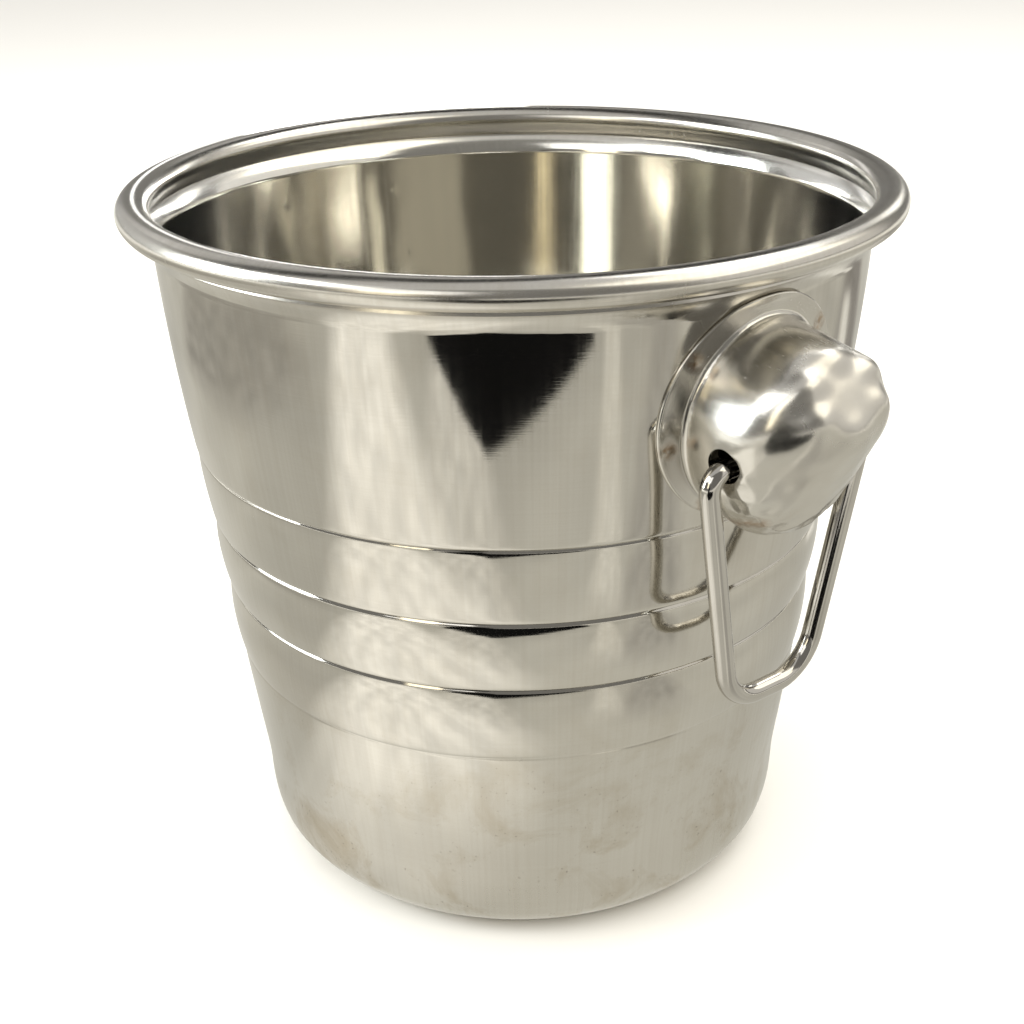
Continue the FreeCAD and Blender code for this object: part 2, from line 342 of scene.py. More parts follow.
def make_shell():
    """The drawn shell, with the weld dents of both knobs in its wall."""
    loop = shell_section()
    columns = SHELL_COLUMNS
    turn = np.arange(columns) / columns * 2 * math.pi
    angle = (turn - CROWDING * np.sin(2 * turn))[None, :] + np.zeros((len(loop), 1))
    r = loop[:, 0][:, None] + np.zeros((1, columns))
    z = loop[:, 1][:, None] + np.zeros((1, columns))
    wall = (z > 110) & (z < 184)
    r = r + waviness(angle, z) * (r > 60)
    for start in (0.0, math.pi):
        for sideways, height in spot_weld_places():
            place = start + math.asin(sideways / WALL_AT_KNOB)
            away = (angle - place + math.pi) % (2 * math.pi) - math.pi
            distance = np.hypot(away * r, z - height - KNOB_Z)
            dent = WELD_DENT * np.exp(-(distance / WELD_DENT_REACH) ** 2)
            pull = WELD_DENT * np.exp(-(distance / WELD_PULL_REACH) ** 2)
            r = r + (dent - pull) * wall
    points = np.stack([r * np.cos(angle), r * np.sin(angle), z], -1).reshape(-1, 3)
    faces = grid_faces(len(loop), columns)
    last = (len(loop) - 1) * columns
    faces += [(last + j, last + (j + 1) % columns, (j + 1) % columns, j) for j in range(columns)]
    return mesh_object("shell", points, faces)


# ---------------------------------------------------------------- knobs
def wall_out(sideways, up):
    """How far out the wall lies at a place, measured from the wall at the knob's middle."""
    r = wall_radius(np.asarray(up) + KNOB_Z)
    return np.sqrt(r ** 2 - np.asarray(sideways) ** 2) - WALL_AT_KNOB


def bulb_surface():
    """Grid of points of the pressed bulb: ALONG rows from root to nose, AROUND columns."""
    stretch = np.hypot(*np.diff(SECTIONS[:, :2], axis=0).T) + np.hypot(*np.diff(SECTIONS[:, 2:4], axis=0).T)
    marks = np.concatenate([[0], np.cumsum(stretch)])
    rows = spline(SECTIONS, marks, ALONG)
    a = np.arange(AROUND) / AROUND * 2 * math.pi
    crown, belly = rows[:, 0:2], rows[:, 2:4]
    centre = (crown + belly) / 2
    half = (crown - belly) / 2
    reach = 1 - np.clip(rows[:, 5], 0, 1)[:, None] * (1 + np.cos(LOBES * a))[None, :]
    out = centre[:, 0:1] + half[:, 0:1] * reach * np.sin(a)
    up = centre[:, 1:2] + half[:, 1:2] * reach * np.sin(a)
    side = rows[:, 4:5] * reach * np.cos(a)
    return np.stack([out, side, up], -1)


def lifted(sideways, up, lift):
    """Point on the wall at a sideways distance and height, raised off it by lift."""
    return np.array((wall_out(sideways, up) + lift, sideways, up))


def knob_column(line, flange_edge):
    """One side of the knob from its flange's rim to the nose, along a line of bulb points."""
    gap = line[:, 0] - wall_out(line[:, 1], line[:, 2]) - FLANGE_T
    i = int(np.argmax(gap > 0))
    share = -gap[i - 1] / (gap[i] - gap[i - 1])
    root = line[i - 1] + (line[i] - line[i - 1]) * share
    away = root[1:] / np.hypot(*root[1:])
    foot = root[1:] + away * FOOT_REACH
    run = np.concatenate([[0], np.cumsum(np.linalg.norm(np.diff(line[i:], axis=0), axis=1))])
    run = run + np.linalg.norm(line[i] - root)
    top = line[i:][np.searchsorted(run, FILLET_REACH)]
    on_flange = lifted(foot[0], foot[1], FLANGE_T)
    fillet = bend(on_flange, root + np.array((-0.05, 0, 0)), top, 12)
    plate = []
    for share in np.linspace(0, 1, PLATE_ROWS + 1)[:-1]:
        place = flange_edge + (foot - flange_edge) * share
        plate.append(lifted(place[0], place[1], FLANGE_T))
    body = line[i:][run > FILLET_REACH]
    marks = np.linspace(0, 1, BULB_ROWS)
    track = np.concatenate([[0], np.cumsum(np.linalg.norm(np.diff(body, axis=0), axis=1))])
    track = track / track[-1]
    body = np.stack([np.interp(marks, track, body[:, k]) for k in range(3)], 1)
    return np.concatenate([np.array(plate), fillet[:-1], body])


def rounded_rim(edge, outward):
    """Points up the flange's rounded rim, from the wall to its face."""
    points = []
    for turn in np.radians(np.linspace(-80, 75, RIM_ROWS)):
        lift = FLANGE_T / 2 + FLANGE_T / 2 * math.sin(turn)
        place = edge + outward * (FLANGE_T / 2) * (math.cos(turn) - 1)
        points.append(lifted(place[0], place[1], lift + WALL_GAP))
    return np.array(points)


def knob_points():
    """Outer skin of the knob as a grid: rim, flange, fillet and bulb, one column per angle."""
    bulb = bulb_surface()
    a = np.arange(AROUND) / AROUND * 2 * math.pi
    columns = []
    for j in range(AROUND):
        heading = np.array((math.cos(a[j]), math.sin(a[j])))
        edge = heading * FLANGE_R + (0, FLANGE_RISE)
        rim = rounded_rim(edge, heading)
        columns.append(np.concatenate([rim, knob_column(bulb[:, j], edge - heading * FLANGE_T / 2)]))
    return np.stack(columns, 1)


def skin_normals(grid):
    """Unit normals of a grid closed round its columns."""
    along = np.gradient(grid, axis=0)
    around = np.roll(grid, -1, axis=1) - np.roll(grid, 1, axis=1)
    normal = np.cross(around, along)
    return normal / np.maximum(np.linalg.norm(normal, axis=-1, keepdims=True), 1e-9)


NOSE = np.array((27.0, 0.0, 13.0))
NOSE_TILT = math.radians(32.0)
NOSE_WIDE = 1.38
PETAL_RING = 7.4
ROUNDING = 1.35
NOSE_ROW = 64
NOSE_PASSES = 13
# small hand-work dents on the bulb: out, sideways, up, depth, reach
DENTS = (
    (18.7, -13.3, -14.4, 0.40, 1.5), (21.1, -2.1, -14.6, 0.45, 1.8), (20.3, 7.1, -14.5, 0.40, 2.0),
    (22.2, -13.3, -5.7, 0.30, 3.0), (26.4, -6.0, -4.6, 0.35, 2.4), (25.6, 8.5, -3.5, 0.35, 2.6),
    (22.5, 14.5, 4.0, 0.30, 2.6), (16.9, 10.6, 19.0, 0.25, 3.0), (23.9, 0.8, -9.5, 0.25, 2.2),
)
# wrinkles of the bulb's hammered underside: direction and pace, shift, height
WRINKLES = (
    (0.34, 0.22, -0.28, 0.4, 0.34), (-0.20, 0.41, 0.25, 1.9, 0.28), (0.15, -0.36, 0.46, 2.7, 0.22),
    (0.62, 0.30, 0.37, 0.9, 0.10), (-0.35, 0.75, 0.12, 2.2, 0.09),
)


def press_details(grid):
    """Pressed petals round the nose, small dents on the bulb and weld dimples in the flange."""
    normal = skin_normals(grid)
    axis = np.array((math.cos(NOSE_TILT), 0, math.sin(NOSE_TILT)))
    upward = np.array((-math.sin(NOSE_TILT), 0, math.cos(NOSE_TILT)))
    away = grid - NOSE
    across, rise = away[..., 1] / NOSE_WIDE, away @ upward
    front = np.clip((away @ axis + 12.0) / 6.0, 0, 1)
    reach = np.hypot(across, rise)
    turn = np.arctan2(rise, across)
    petal = 0.5 - 0.5 * np.cos(LOBES * turn)
    push = 0.85 * np.exp(-((reach - PETAL_RING) / 2.6) ** 2) * petal
    push -= 0.45 * np.exp(-((reach - 9.6) / 2.4) ** 2) * (1 - petal) ** 2
    push = push * front
    for x, y, z, depth, size in DENTS:
        distance = np.linalg.norm(grid - (x, y, z), axis=-1)
        push = push - depth * np.exp(-(distance / size) ** 2)
        push = push + 0.3 * depth * np.exp(-((distance - 1.9 * size) / size) ** 2)
    belly = np.clip((2.0 - grid[..., 2]) / 6.0, 0, 1) * np.clip((grid[..., 0] - 9.0) / 4.0, 0, 1)
    for wave in WRINKLES:
        push = push - wave[4] * belly * np.abs(np.sin(grid @ np.array(wave[:3]) + wave[3]))
    for sideways, up in spot_weld_places():
        distance = np.hypot(grid[..., 1] - sideways, grid[..., 2] - up)
        near = grid[..., 0] - wall_out(grid[..., 1], grid[..., 2]) < 2.0
        push = push - np.where(near, 0.35 * np.exp(-(distance / 1.7) ** 2), 0)
    return grid + normal * push[..., None]


def softened(grid, first, passes):
    """Grid with its rows from first on eased along the columns, round the rings and across the nose."""
    grid = grid.copy()
    weight = np.clip((np.arange(len(grid)) - first) / 12.0, 0, 1)[:, None, None]
    half = AROUND // 2
    waves = np.fft.rfftfreq(AROUND, 1 / AROUND)[None, :, None]
    for _ in range(passes):
        beyond = np.roll(grid[-2:-1], half, axis=1)
        line = np.concatenate([grid, beyond])
        eased_rows = grid.copy()
        eased_rows[1:] = (line[:-2] + 2 * line[1:-1] + line[2:]) / 4
        grid = grid + (eased_rows - grid) * weight
    centre = grid.mean(axis=1, keepdims=True)
    radius = np.linalg.norm(grid - centre, axis=-1).mean(axis=1)[:, None, None]
    pattern = np.fft.rfft(grid, axis=1)
    kept = np.where(waves < 1.5, 1.0, np.exp(-0.5 * (waves * ROUNDING / np.maximum(radius, 0.3)) ** 2))
    rounded = np.fft.irfft(pattern * kept, n=AROUND, axis=1)
    return grid + (rounded - grid) * weight


def cut_hole(obj, centre, radius, length):
    """Punch a round hole through the object along Y."""
    steps = 48
    turn = np.arange(steps) / steps * 2 * math.pi
    across = centre[0] + radius * np.cos(turn)
    up = centre[1] + radius * np.sin(turn)
    ends = [np.stack([across, np.full(steps, y), up], 1) for y in (-length, length)]
    faces = grid_faces(2, steps) + [tuple(range(steps)), tuple(range(2 * steps - 1, steps - 1, -1))]
    tool = mesh_object("punch", np.concatenate(ends), faces)
    change = obj.modifiers.new("punch", "BOOLEAN")
    change.operation = "DIFFERENCE"
    change.solver = "EXACT"
    change.object = tool
    graph = bpy.context.evaluated_depsgraph_get()
    cut = bpy.data.meshes.new_from_object(obj.evaluated_get(graph))
    obj.modifiers.clear()
    old = obj.data
    obj.data = cut
    bpy.data.meshes.remove(old)
    bpy.data.objects.remove(tool)


def turned(obj, name):
    """Copy of an object turned half round the bucket's axis."""
    mesh = obj.data.copy()
    mesh.transform(Matrix.Rotation(math.pi, 4, "Z"))
    twin = bpy.data.objects.new(name, mesh)
    bpy.context.scene.collection.objects.link(twin)
    return twin


def make_knob():
    """Pressed hollow knob on its welded flange, with the bail's two holes."""
    outer = softened(press_details(knob_points()), NOSE_ROW, NOSE_PASSES)[:-1]
    # the pressed nose stands out no further than the CAD knob
    outer[..., 0] *= min(1.0, (knob_high.x / MM - WALL_AT_KNOB) / outer[..., 0].max())
    normal = skin_normals(outer)
    inner = outer - normal * KNOB_T
    place = np.array([WALL_AT_KNOB, 0, KNOB_Z])
    rows = outer.shape[0]
    inner = inner[RIM_ROWS + PLATE_ROWS:]
    first = inner[0].copy()
    first[:, 0] = wall_out(first[:, 1], first[:, 2]) + WALL_GAP
    inner = np.concatenate([first[None], inner[1:]])
    points = np.concatenate([outer.reshape(-1, 3), inner.reshape(-1, 3)]) + place
    faces = grid_faces(rows, AROUND)
    start = rows * AROUND
    faces += [tuple(reversed(f)) for f in grid_faces(len(inner), AROUND, start)]
    faces += [(j, start + j, start + (j + 1) % AROUND, (j + 1) % AROUND) for j in range(AROUND)]
    nose = (rows - 1) * AROUND
    faces.append(tuple(nose + j for j in range(AROUND)))
    back = start + (len(inner) - 1) * AROUND
    faces.append(tuple(back + j for j in reversed(range(AROUND))))
    obj = mesh_object("knob_right_skin", points, faces)
    cut_hole(obj, (PIVOT_X, PIVOT_Z + HOLE_LIFT), HOLE_R, PUNCH_REACH)
    tidy_mesh(obj.data)
    return obj


# ---------------------------------------------------------------- bails
WIRE_R = 2.5
HALF_TOP = 26.0
HALF_BOTTOM = 13.2
DROP = 64.0
END_HALF = 15.5
BEND_TOP = 4.4
BEND_BOTTOM = 12.0
LOPSIDED = 2.6
WIRE_SIDES = 28


def rounded_path(corners, radii, step):
    """Points along straight runs whose inner corners are rounded, about one step apart in the bends."""
    path = [corners[0]]
    for before, corner, after, radius in zip(corners[:-2], corners[1:-1], corners[2:], radii):
        to_back = (before - corner) / np.linalg.norm(before - corner)
        to_front = (after - corner) / np.linalg.norm(after - corner)
        half = math.acos(np.clip(np.dot(to_back, to_front), -1, 1)) / 2
        setback = radius / math.tan(half)
        centre_way = (to_back + to_front) / np.linalg.norm(to_back + to_front)
        centre = corner + centre_way * radius / math.sin(half)
        start = corner + to_back * setback - centre
        end = corner + to_front * setback - centre
        sweep = math.pi - 2 * half
        count = max(6, int(radius * sweep / step))
        for t in np.linspace(0, 1, count + 1):
            blend = (math.sin((1 - t) * sweep) * start + math.sin(t * sweep) * end) / math.sin(sweep)
            path.append(centre + blend)
    path.append(corners[-1])
    return np.array(path)


def bail_path():
    """Centre line of the right-hand bail, in mm."""
    corners = np.array([
        (0, END_HALF, 0), (0, HALF_TOP, 0), (0, HALF_BOTTOM, -DROP),
        (0, -HALF_BOTTOM, -DROP), (0, -HALF_TOP, 0), (0, -END_HALF, 0)], float)
    path = rounded_path(corners, (BEND_TOP, BEND_BOTTOM, BEND_BOTTOM, BEND_TOP), 0.9)
    lean = -LOPSIDED * (np.clip(-path[:, 2], 0, DROP) / DROP) ** 2
    return path + np.stack([0 * lean + PIVOT_X, lean, 0 * lean + PIVOT_Z], 1)


def make_bail():
    """Round wire bent to a loop, its two ends turned in through the knob."""
    path = bail_path()
    fine = [path[0]]
    for a, b in zip(path[:-1], path[1:]):
        pieces = max(1, int(np.linalg.norm(b - a) / 2.5))
        fine += [a + (b - a) * (k + 1) / pieces for k in range(pieces)]
    path = np.array(fine)
    along = np.gradient(path, axis=0)
    along /= np.linalg.norm(along, axis=1, keepdims=True)
    out = np.array((1.0, 0, 0))
    across = np.cross(along, out)
    turn = np.arange(WIRE_SIDES) / WIRE_SIDES * 2 * math.pi
    rings = []
    bevel = ((0.0, WIRE_R - 0.5), (0.15, WIRE_R - 0.15))
    for back, radius in bevel:
        rings.append((path[0] + along[0] * back, across[0], radius))
    for point, side in zip(path[1:-1], across[1:-1]):
        rings.append((point, side, WIRE_R))
    for back, radius in reversed(bevel):
        rings.append((path[-1] - along[-1] * back, across[-1], radius))
    points = []
    for centre, side, radius in rings:
        for t in turn:
            points.append(centre + radius * (math.cos(t) * out + math.sin(t) * side))
    faces = grid_faces(len(rings), WIRE_SIDES)
    faces.append(tuple(range(WIRE_SIDES)))
    last = (len(rings) - 1) * WIRE_SIDES
    faces.append(tuple(last + j for j in reversed(range(WIRE_SIDES))))
    return mesh_object("bail_right_wire", np.array(points), faces)


# ---------------------------------------------------------------- materials
def new_material(name, slot_colour):
    """Empty node material with its output, ready for a shader."""
    mat = bpy.data.materials.new(name)
    mat.use_nodes = True
    mat.diffuse_color = slot_colour + (1,)
    tree = mat.node_tree
    tree.nodes.clear()
    return mat, tree


class Net:
    """Short hand for wiring shader nodes."""

    def __init__(self, tree):
        self.tree = tree

    def add(self, kind, **settings):
        """New node of a kind with its settings."""
        node = self.tree.nodes.new(kind)
        for key, value in settings.items():
            setattr(node, key, value)
        return node

    def link(self, a, b):
        """Wire an output socket to an input socket."""
        self.tree.links.new(a, b)

    def math(self, operation, a, b=None, clamp=False):
        """Result of a sum, product or function of sockets and plain numbers."""
        node = self.add("ShaderNodeMath", operation=operation, use_clamp=clamp)
        for socket, value in zip(node.inputs, (a, b)):
            if value is None:
                continue
            if isinstance(value, (int, float)):
                socket.default_value = value
            else:
                self.link(value, socket)
        return node.outputs[0]

    def noise(self, vector, scale, detail=2.0, rough=0.5, distortion=0.0):
        """Noise pattern read at a place."""
        node = self.add("ShaderNodeTexNoise")
        node.inputs["Scale"].default_value = scale
        node.inputs["Detail"].default_value = detail
        node.inputs["Roughness"].default_value = rough
        node.inputs["Distortion"].default_value = distortion
        self.link(vector, node.inputs["Vector"])
        return node.outputs["Fac"]

    def range(self, value, low, high, to_low, to_high):
        """Value moved from one span to another, and kept in it."""
        node = self.add("ShaderNodeMapRange", clamp=True)
        for name, number in zip(("From Min", "From Max", "To Min", "To Max"), (low, high, to_low, to_high)):
            node.inputs[name].default_value = number
        self.link(value, node.inputs["Value"])
        return node.outputs["Result"]

    def combine(self, x, y, z):
        """Vector made of three values."""
        node = self.add("ShaderNodeCombineXYZ")
        for socket, value in zip(node.inputs, (x, y, z)):
            if isinstance(value, (int, float)):
                socket.default_value = value
            else:
                self.link(value, socket)
        return node.outputs[0]

    def scaled(self, value, *factors):
        """Value multiplied by each of the factors in turn."""
        for factor in factors:
            value = self.math("MULTIPLY", value, factor)
        return value

    def stretched(self, x, y, z, scales):
        """Place scaled differently along its three directions."""
        return self.combine(*(self.scaled(value, scale) for value, scale in zip((x, y, z), scales)))

    def mix(self, factor, a, b):
        """Colour between a and b."""
        node = self.add("ShaderNodeMix", data_type="RGBA")
        self.link(factor, node.inputs["Factor"])
        for socket, value in ((node.inputs[6], a), (node.inputs[7], b)):
            if isinstance(value, tuple):
                socket.default_value = value + (1,)
            else:
                self.link(value, socket)
        return node.outputs[2]


def steel_shader(net, colour, roughness, bump_height, bump_strength, bump_distance,
                 anisotropic=0.0, tangent=None):
    """Metal Principled shader with linked colour, roughness and bump."""
    shader = net.add("ShaderNodeBsdfPrincipled")
    shader.inputs["Metallic"].default_value = 1.0
    shader.inputs["Anisotropic"].default_value = anisotropic
    net.link(colour, shader.inputs["Base Color"])
    net.link(roughness, shader.inputs["Roughness"])
    bump = net.add("ShaderNodeBump")
    bump.inputs["Strength"].default_value = bump_strength
    bump.inputs["Distance"].default_value = bump_distance
    net.link(bump_height, bump.inputs["Height"])
    net.link(bump.outputs["Normal"], shader.inputs["Normal"])
    if tangent is not None:
        net.link(tangent, shader.inputs["Tangent"])
    output = net.add("ShaderNodeOutputMaterial")
    net.link(shader.outputs[0], output.inputs["Surface"])
    return shader


STEEL = (0.62, 0.60, 0.55)
STEEL_DULL = (0.53, 0.50, 0.44)
# inside of the sheet painted brighter than the same steel outside: painted light
STEEL_INSIDE_PAINTED_BRIGHT = (0.80, 0.78, 0.71)
# worn inside steel, also used for the painted shade that darkens the inside towards +x
STEEL_INSIDE_WORN_AND_SHADED = (0.52, 0.50, 0.45)
# painted sheen where the inside is seen at a glancing angle
STEEL_PAINTED_SHEEN = (0.93, 0.92, 0.89)
STAIN = (0.44, 0.39, 0.30)
PIT = (0.16, 0.13, 0.10)
HEAT_TINT = (0.30, 0.19, 0.10)
WIRE = (0.54, 0.52, 0.48)
WIRE_DULL = (0.44, 0.42, 0.38)


def shell_material():
    """Spun stainless sheet: bright, with fine circumferential brushing, smudges and dull spots low down; its
    inside painted brighter, darker towards +x with painted shade, and with a painted sheen at glancing angles.
    """
    mat, tree = new_material("spun_steel", STEEL)
    net = Net(tree)
    place = net.add("ShaderNodeTexCoord").outputs["Object"]
    split = net.add("ShaderNodeSeparateXYZ")
    net.link(place, split.inputs[0])
    x, y, z = split.outputs
    around = net.math("ARCTAN2", y, x)
    arc = net.scaled(net.math("SINE", around), 0.09)
    arc2 = net.scaled(net.math("COSINE", around), 0.09)
    brushing = net.noise(net.stretched(arc, arc2, z, (12.0, 12.0, 4200.0)), 1.0, 3.0, 0.6)
    drawn = net.noise(net.stretched(arc, arc2, z, (900.0, 900.0, 14.0)), 1.0, 2.0, 0.5)
    cloud = net.noise(place, 22.0, 4.0, 0.55)
    stain = net.noise(place, 48.0, 5.0, 0.62, 0.6)
    specks = net.noise(place, 1100.0, 1.0, 0.5)
    low = net.range(z, 0.02, 0.075, 1.0, 0.0)
    smudge = net.range(cloud, 0.42, 0.68, 0.0, 1.0)
    wiped = net.range(drawn, 0.35, 0.75, 0.0, 1.0)
    grain = net.range(brushing, 0.3, 0.7, 0.0, 1.0)
    satin = net.range(z, 0.183, 0.188, 0.0, 0.15)
    rough = net.math("ADD", net.scaled(smudge, 0.05), 0.040)
    for more in (satin, net.scaled(low, cloud, 0.22), net.scaled(wiped, 0.035), net.scaled(grain, 0.02)):
        rough = net.math("ADD", rough, more)
    stained = net.range(stain, 0.50, 0.70, 0.0, 1.0)
    grime = net.math("MULTIPLY", stained, net.math("ADD", net.scaled(low, 0.75), 0.13))
    pitted = net.math("MULTIPLY", low, net.range(stain, 0.45, 0.6, 0.0, 1.0))
    pits = net.math("MULTIPLY", net.range(specks, 0.70, 0.76, 0.0, 1.0), pitted)
    worn = net.math("ADD", net.scaled(smudge, 0.30), net.scaled(wiped, 0.30))
    worn = net.math("ADD", worn, net.scaled(grain, 0.18), clamp=True)
    tone = net.mix(worn, STEEL, STEEL_DULL)
    tone = net.mix(grime, tone, STAIN)
    tone = net.mix(net.scaled(pits, 0.8), tone, PIT)
    # the inside below the rim gets its own colour: painted light, painted shade and a painted sheen over real
    # wear
    facing = net.add("ShaderNodeVectorMath", operation="DOT_PRODUCT")
    net.link(net.add("ShaderNodeTexCoord").outputs["Normal"], facing.inputs[0])
    net.link(net.combine(x, y, 0.0), facing.inputs[1])
    below_rim = net.range(z, 0.186, 0.189, 1.0, 0.0)
    inside = net.math("MULTIPLY", net.math("LESS_THAN", facing.outputs["Value"], -0.01), below_rim)
    # real wear, plus painted shade rising across the inside towards +x
    wear_and_side_shade = net.math("ADD", net.scaled(worn, 0.5), net.range(x, -0.05, 0.05, 0.0, 0.7), clamp=True)
    # painted sheen: the inside is paler where it is seen at a glancing angle
    painted_sheen = net.range(net.add("ShaderNodeLayerWeight").outputs["Facing"], 0.15, 0.55, 0.0, 1.0)
    lining_with_painted_light = net.mix(painted_sheen, net.mix(wear_and_side_shade, STEEL_INSIDE_PAINTED_BRIGHT, STEEL_INSIDE_WORN_AND_SHADED), STEEL_PAINTED_SHEEN)
    tone = net.mix(inside, tone, lining_with_painted_light)
    height = net.math("ADD", net.scaled(brushing, 0.6), net.scaled(drawn, 0.4))
    tangent = net.add("ShaderNodeTangent", direction_type="RADIAL", axis="Z").outputs[0]
    steel_shader(net, tone, rough, height, 0.30, 0.00002, 0.35, tangent)
    return mat


# the nose's satin face begins where the height plus a share of the distance out passes this
NOSE_SLOPE = 1.6
NOSE_SATIN = (KNOB_Z + NOSE[2] + NOSE_SLOPE * (WALL_AT_KNOB + NOSE[0] - 3.0)) * MM


def knob_material():
    """Pressed stainless: polished by hand, a little softer than the shell, tinted at its welds."""
    mat, tree = new_material("pressed_steel", STEEL)
    net = Net(tree)
    place = net.add("ShaderNodeTexCoord").outputs["Object"]
    split = net.add("ShaderNodeSeparateXYZ")
    net.link(place, split.inputs[0])
    x, y, z = split.outputs
    polishing = net.noise(net.stretched(x, y, z, (60.0, 900.0, 900.0)), 1.0, 3.0, 0.6)
    cloud = net.noise(place, 60.0, 3.0, 0.5)
    rough = net.math("ADD", net.scaled(cloud, 0.12), 0.11)
    rough = net.math("ADD", rough, net.scaled(polishing, 0.08))
    away = net.math("ABSOLUTE", x)
    nose_z = net.math("ADD", z, net.scaled(away, NOSE_SLOPE))
    rough = net.math("ADD", rough, net.range(nose_z, NOSE_SATIN - 0.004, NOSE_SATIN + 0.004, 0.0, 0.10))
    tone = net.mix(net.range(cloud, 0.4, 0.7, 0.0, 0.6), STEEL, STEEL_DULL)
    facing = net.math("SIGN", x)
    spot = net.combine(0.0, net.math("MULTIPLY", y, facing), z)
    heat = None
    for sideways, up in spot_weld_places():
        distance = net.add("ShaderNodeVectorMath", operation="DISTANCE")
        net.link(spot, distance.inputs[0])
        distance.inputs[1].default_value = (0.0, sideways * MM, (up + KNOB_Z) * MM)
        mark = net.range(distance.outputs["Value"], 0.0006, 0.0030, 1.0, 0.0)
        heat = mark if heat is None else net.math("MAXIMUM", heat, mark)
    burnt = net.math("MULTIPLY", heat, net.range(net.noise(place, 700.0, 2.0), 0.30, 0.65, 0.15, 0.9))
    tone = net.mix(burnt, tone, HEAT_TINT)
    scratch = net.noise(net.stretched(x, y, z, (90.0, 2600.0, 2600.0)), 1.0, 1.0)
    on_top = net.range(z, 0.160, 0.170, 0.0, 1.0)
    scratches = net.math("MULTIPLY", net.range(scratch, 0.60, 0.75, 0.0, 1.0), on_top)
    rough = net.math("ADD", rough, net.scaled(scratches, 0.06))
    height = net.math("SUBTRACT", polishing, net.scaled(scratches, 0.25))
    steel_shader(net, tone, rough, height, 0.3, 0.00005)
    return mat


def wire_material():
    """Drawn and plated wire, bright with faint lengthwise lines."""
    mat, tree = new_material("plated_wire", STEEL)
    net = Net(tree)
    place = net.add("ShaderNodeTexCoord").outputs["Object"]
    split = net.add("ShaderNodeSeparateXYZ")
    net.link(place, split.inputs[0])
    x, y, z = split.outputs
    drawn = net.noise(net.stretched(x, y, z, (1400.0, 1400.0, 40.0)), 1.0, 2.0, 0.5)
    cloud = net.noise(place, 90.0, 3.0, 0.5)
    rough = net.math("ADD", net.scaled(cloud, 0.08), 0.06)
    tone = net.mix(net.range(cloud, 0.4, 0.7, 0.0, 0.5), WIRE, WIRE_DULL)
    steel_shader(net, tone, rough, drawn, 0.2, 0.00003)
    return mat


# ---------------------------------------------------------------- pieces
shell = make_shell()
knob_right = make_knob()
knob_left = turned(knob_right, "knob_left_skin")
bail_right = make_bail()
bail_left = turned(bail_right, "bail_left_wire")

steel, pressed, plated = shell_material(), knob_material(), wire_material()
PIECES = (
    (shell, "bucket", "bucket_body", "shell", steel),
    (knob_right, "bucket", "knob_right", "knob", pressed),
    (knob_left, "bucket", "knob_left", "knob", pressed),
    (bail_right, "bail_right", "bail_right", "wire", plated),
    (bail_left, "bail_left", "bail_left", "wire", plated),
)
for piece, body, node, slot, material in PIECES:
    piece.data.materials.clear()
    piece.data.materials.append(material)
    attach(piece, body)
    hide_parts(node)


# ---------------------------------------------------------------- floor, room and light
def plain_material(name, colour, shine=0.5):
    """Plain matt surface for the floor and the studio's cards; no shine at all for black ones."""
    mat = bpy.data.materials.new(name)
    mat.use_nodes = True
    shader = mat.node_tree.nodes["Principled BSDF"]
    shader.inputs["Base Color"].default_value = colour + (1,)
    shader.inputs["Roughness"].default_value = 0.6
    shader.inputs["Specular IOR Level"].default_value = shine
    return mat


def flat_card(name, corners, material):
    """Flat card of the studio, given its corners in order."""
    mesh = bpy.data.meshes.new(name)
    mesh.from_pydata([tuple(c) for c in corners], [], [tuple(range(len(corners)))])
    obj = bpy.data.objects.new(name, mesh)
    mesh.materials.append(material)
    bpy.context.scene.collection.objects.link(obj)
    return obj


def around_view(right, back, up):
    """World point from distances to the camera's right, away from the camera, and up."""
    return Matrix.Rotation(CAM_AZIMUTH, 4, "Z") @ Vector((right, back, up))


def soft_light(name, place, aim, size, power, colour=(1, 1, 1)):
    """Rectangular soft light at a place, facing a point."""
    data = bpy.data.lights.new(name, "AREA")
    data.shape = "RECTANGLE"
    data.size, data.size_y = size
    data.energy = power
    data.color = colour
    obj = bpy.data.objects.new(name, data)
    bpy.context.scene.collection.objects.link(obj)
    obj.location = place
    obj.rotation_euler = (aim - place).to_track_quat("-Z", "Y").to_euler()
    return obj


FLOOR_HALF = 3.0
FLOOR_CORNERS = [(-FLOOR_HALF, -FLOOR_HALF, 0), (FLOOR_HALF, -FLOOR_HALF, 0),
                 (FLOOR_HALF, FLOOR_HALF, 0), (-FLOOR_HALF, FLOOR_HALF, 0)]
flat_card("floor", FLOOR_CORNERS, plain_material("pale_floor", (0.84, 0.82, 0.77)))


def hide(obj, shadow):
    """Keep a card out of the camera's sight and of bounced light; shadow says if it still casts one."""
    obj.visible_camera = False
    obj.visible_diffuse = False
    obj.visible_shadow = shadow


# dark edge of the table, and a dark shape standing above it
flag = flat_card("dark_flag", [around_view(*p) for p in (
    (-0.045, -0.315, 0.003), (0.18, -0.45, 0.003), (0.21, -0.62, 0.06), (-0.09, -0.62, 0.08),
    (-0.12, -0.62, 0.26), (-0.18, -0.62, 0.26), (-0.22, -0.62, 0.06), (-0.20, -0.45, 0.003))],
    plain_material("black_cloth", (0.004, 0.004, 0.004), shine=0.0))
hide(flag, True)


def beam(name, line, half_width, material):
    """Flat-sided dark bar of the ceiling along a line of points."""
    for k, (start, end) in enumerate(zip(line[:-1], line[1:])):
        across = (end - start).cross(start).normalized() * half_width
        corners = [start - across, end - across, end + across, start + across]
        hide(flat_card(f"{name}_{k}", corners, material), True)


beam("ceiling_bar", [around_view(*p) for p in (
    (-0.76, 0.00, 0.70), (-0.30, 0.18, 0.92), (0.08, 0.46, 0.82), (0.30, 0.64, 0.55))],
    0.16, plain_material("bar_paint", (0.006, 0.006, 0.006), shine=0.0))


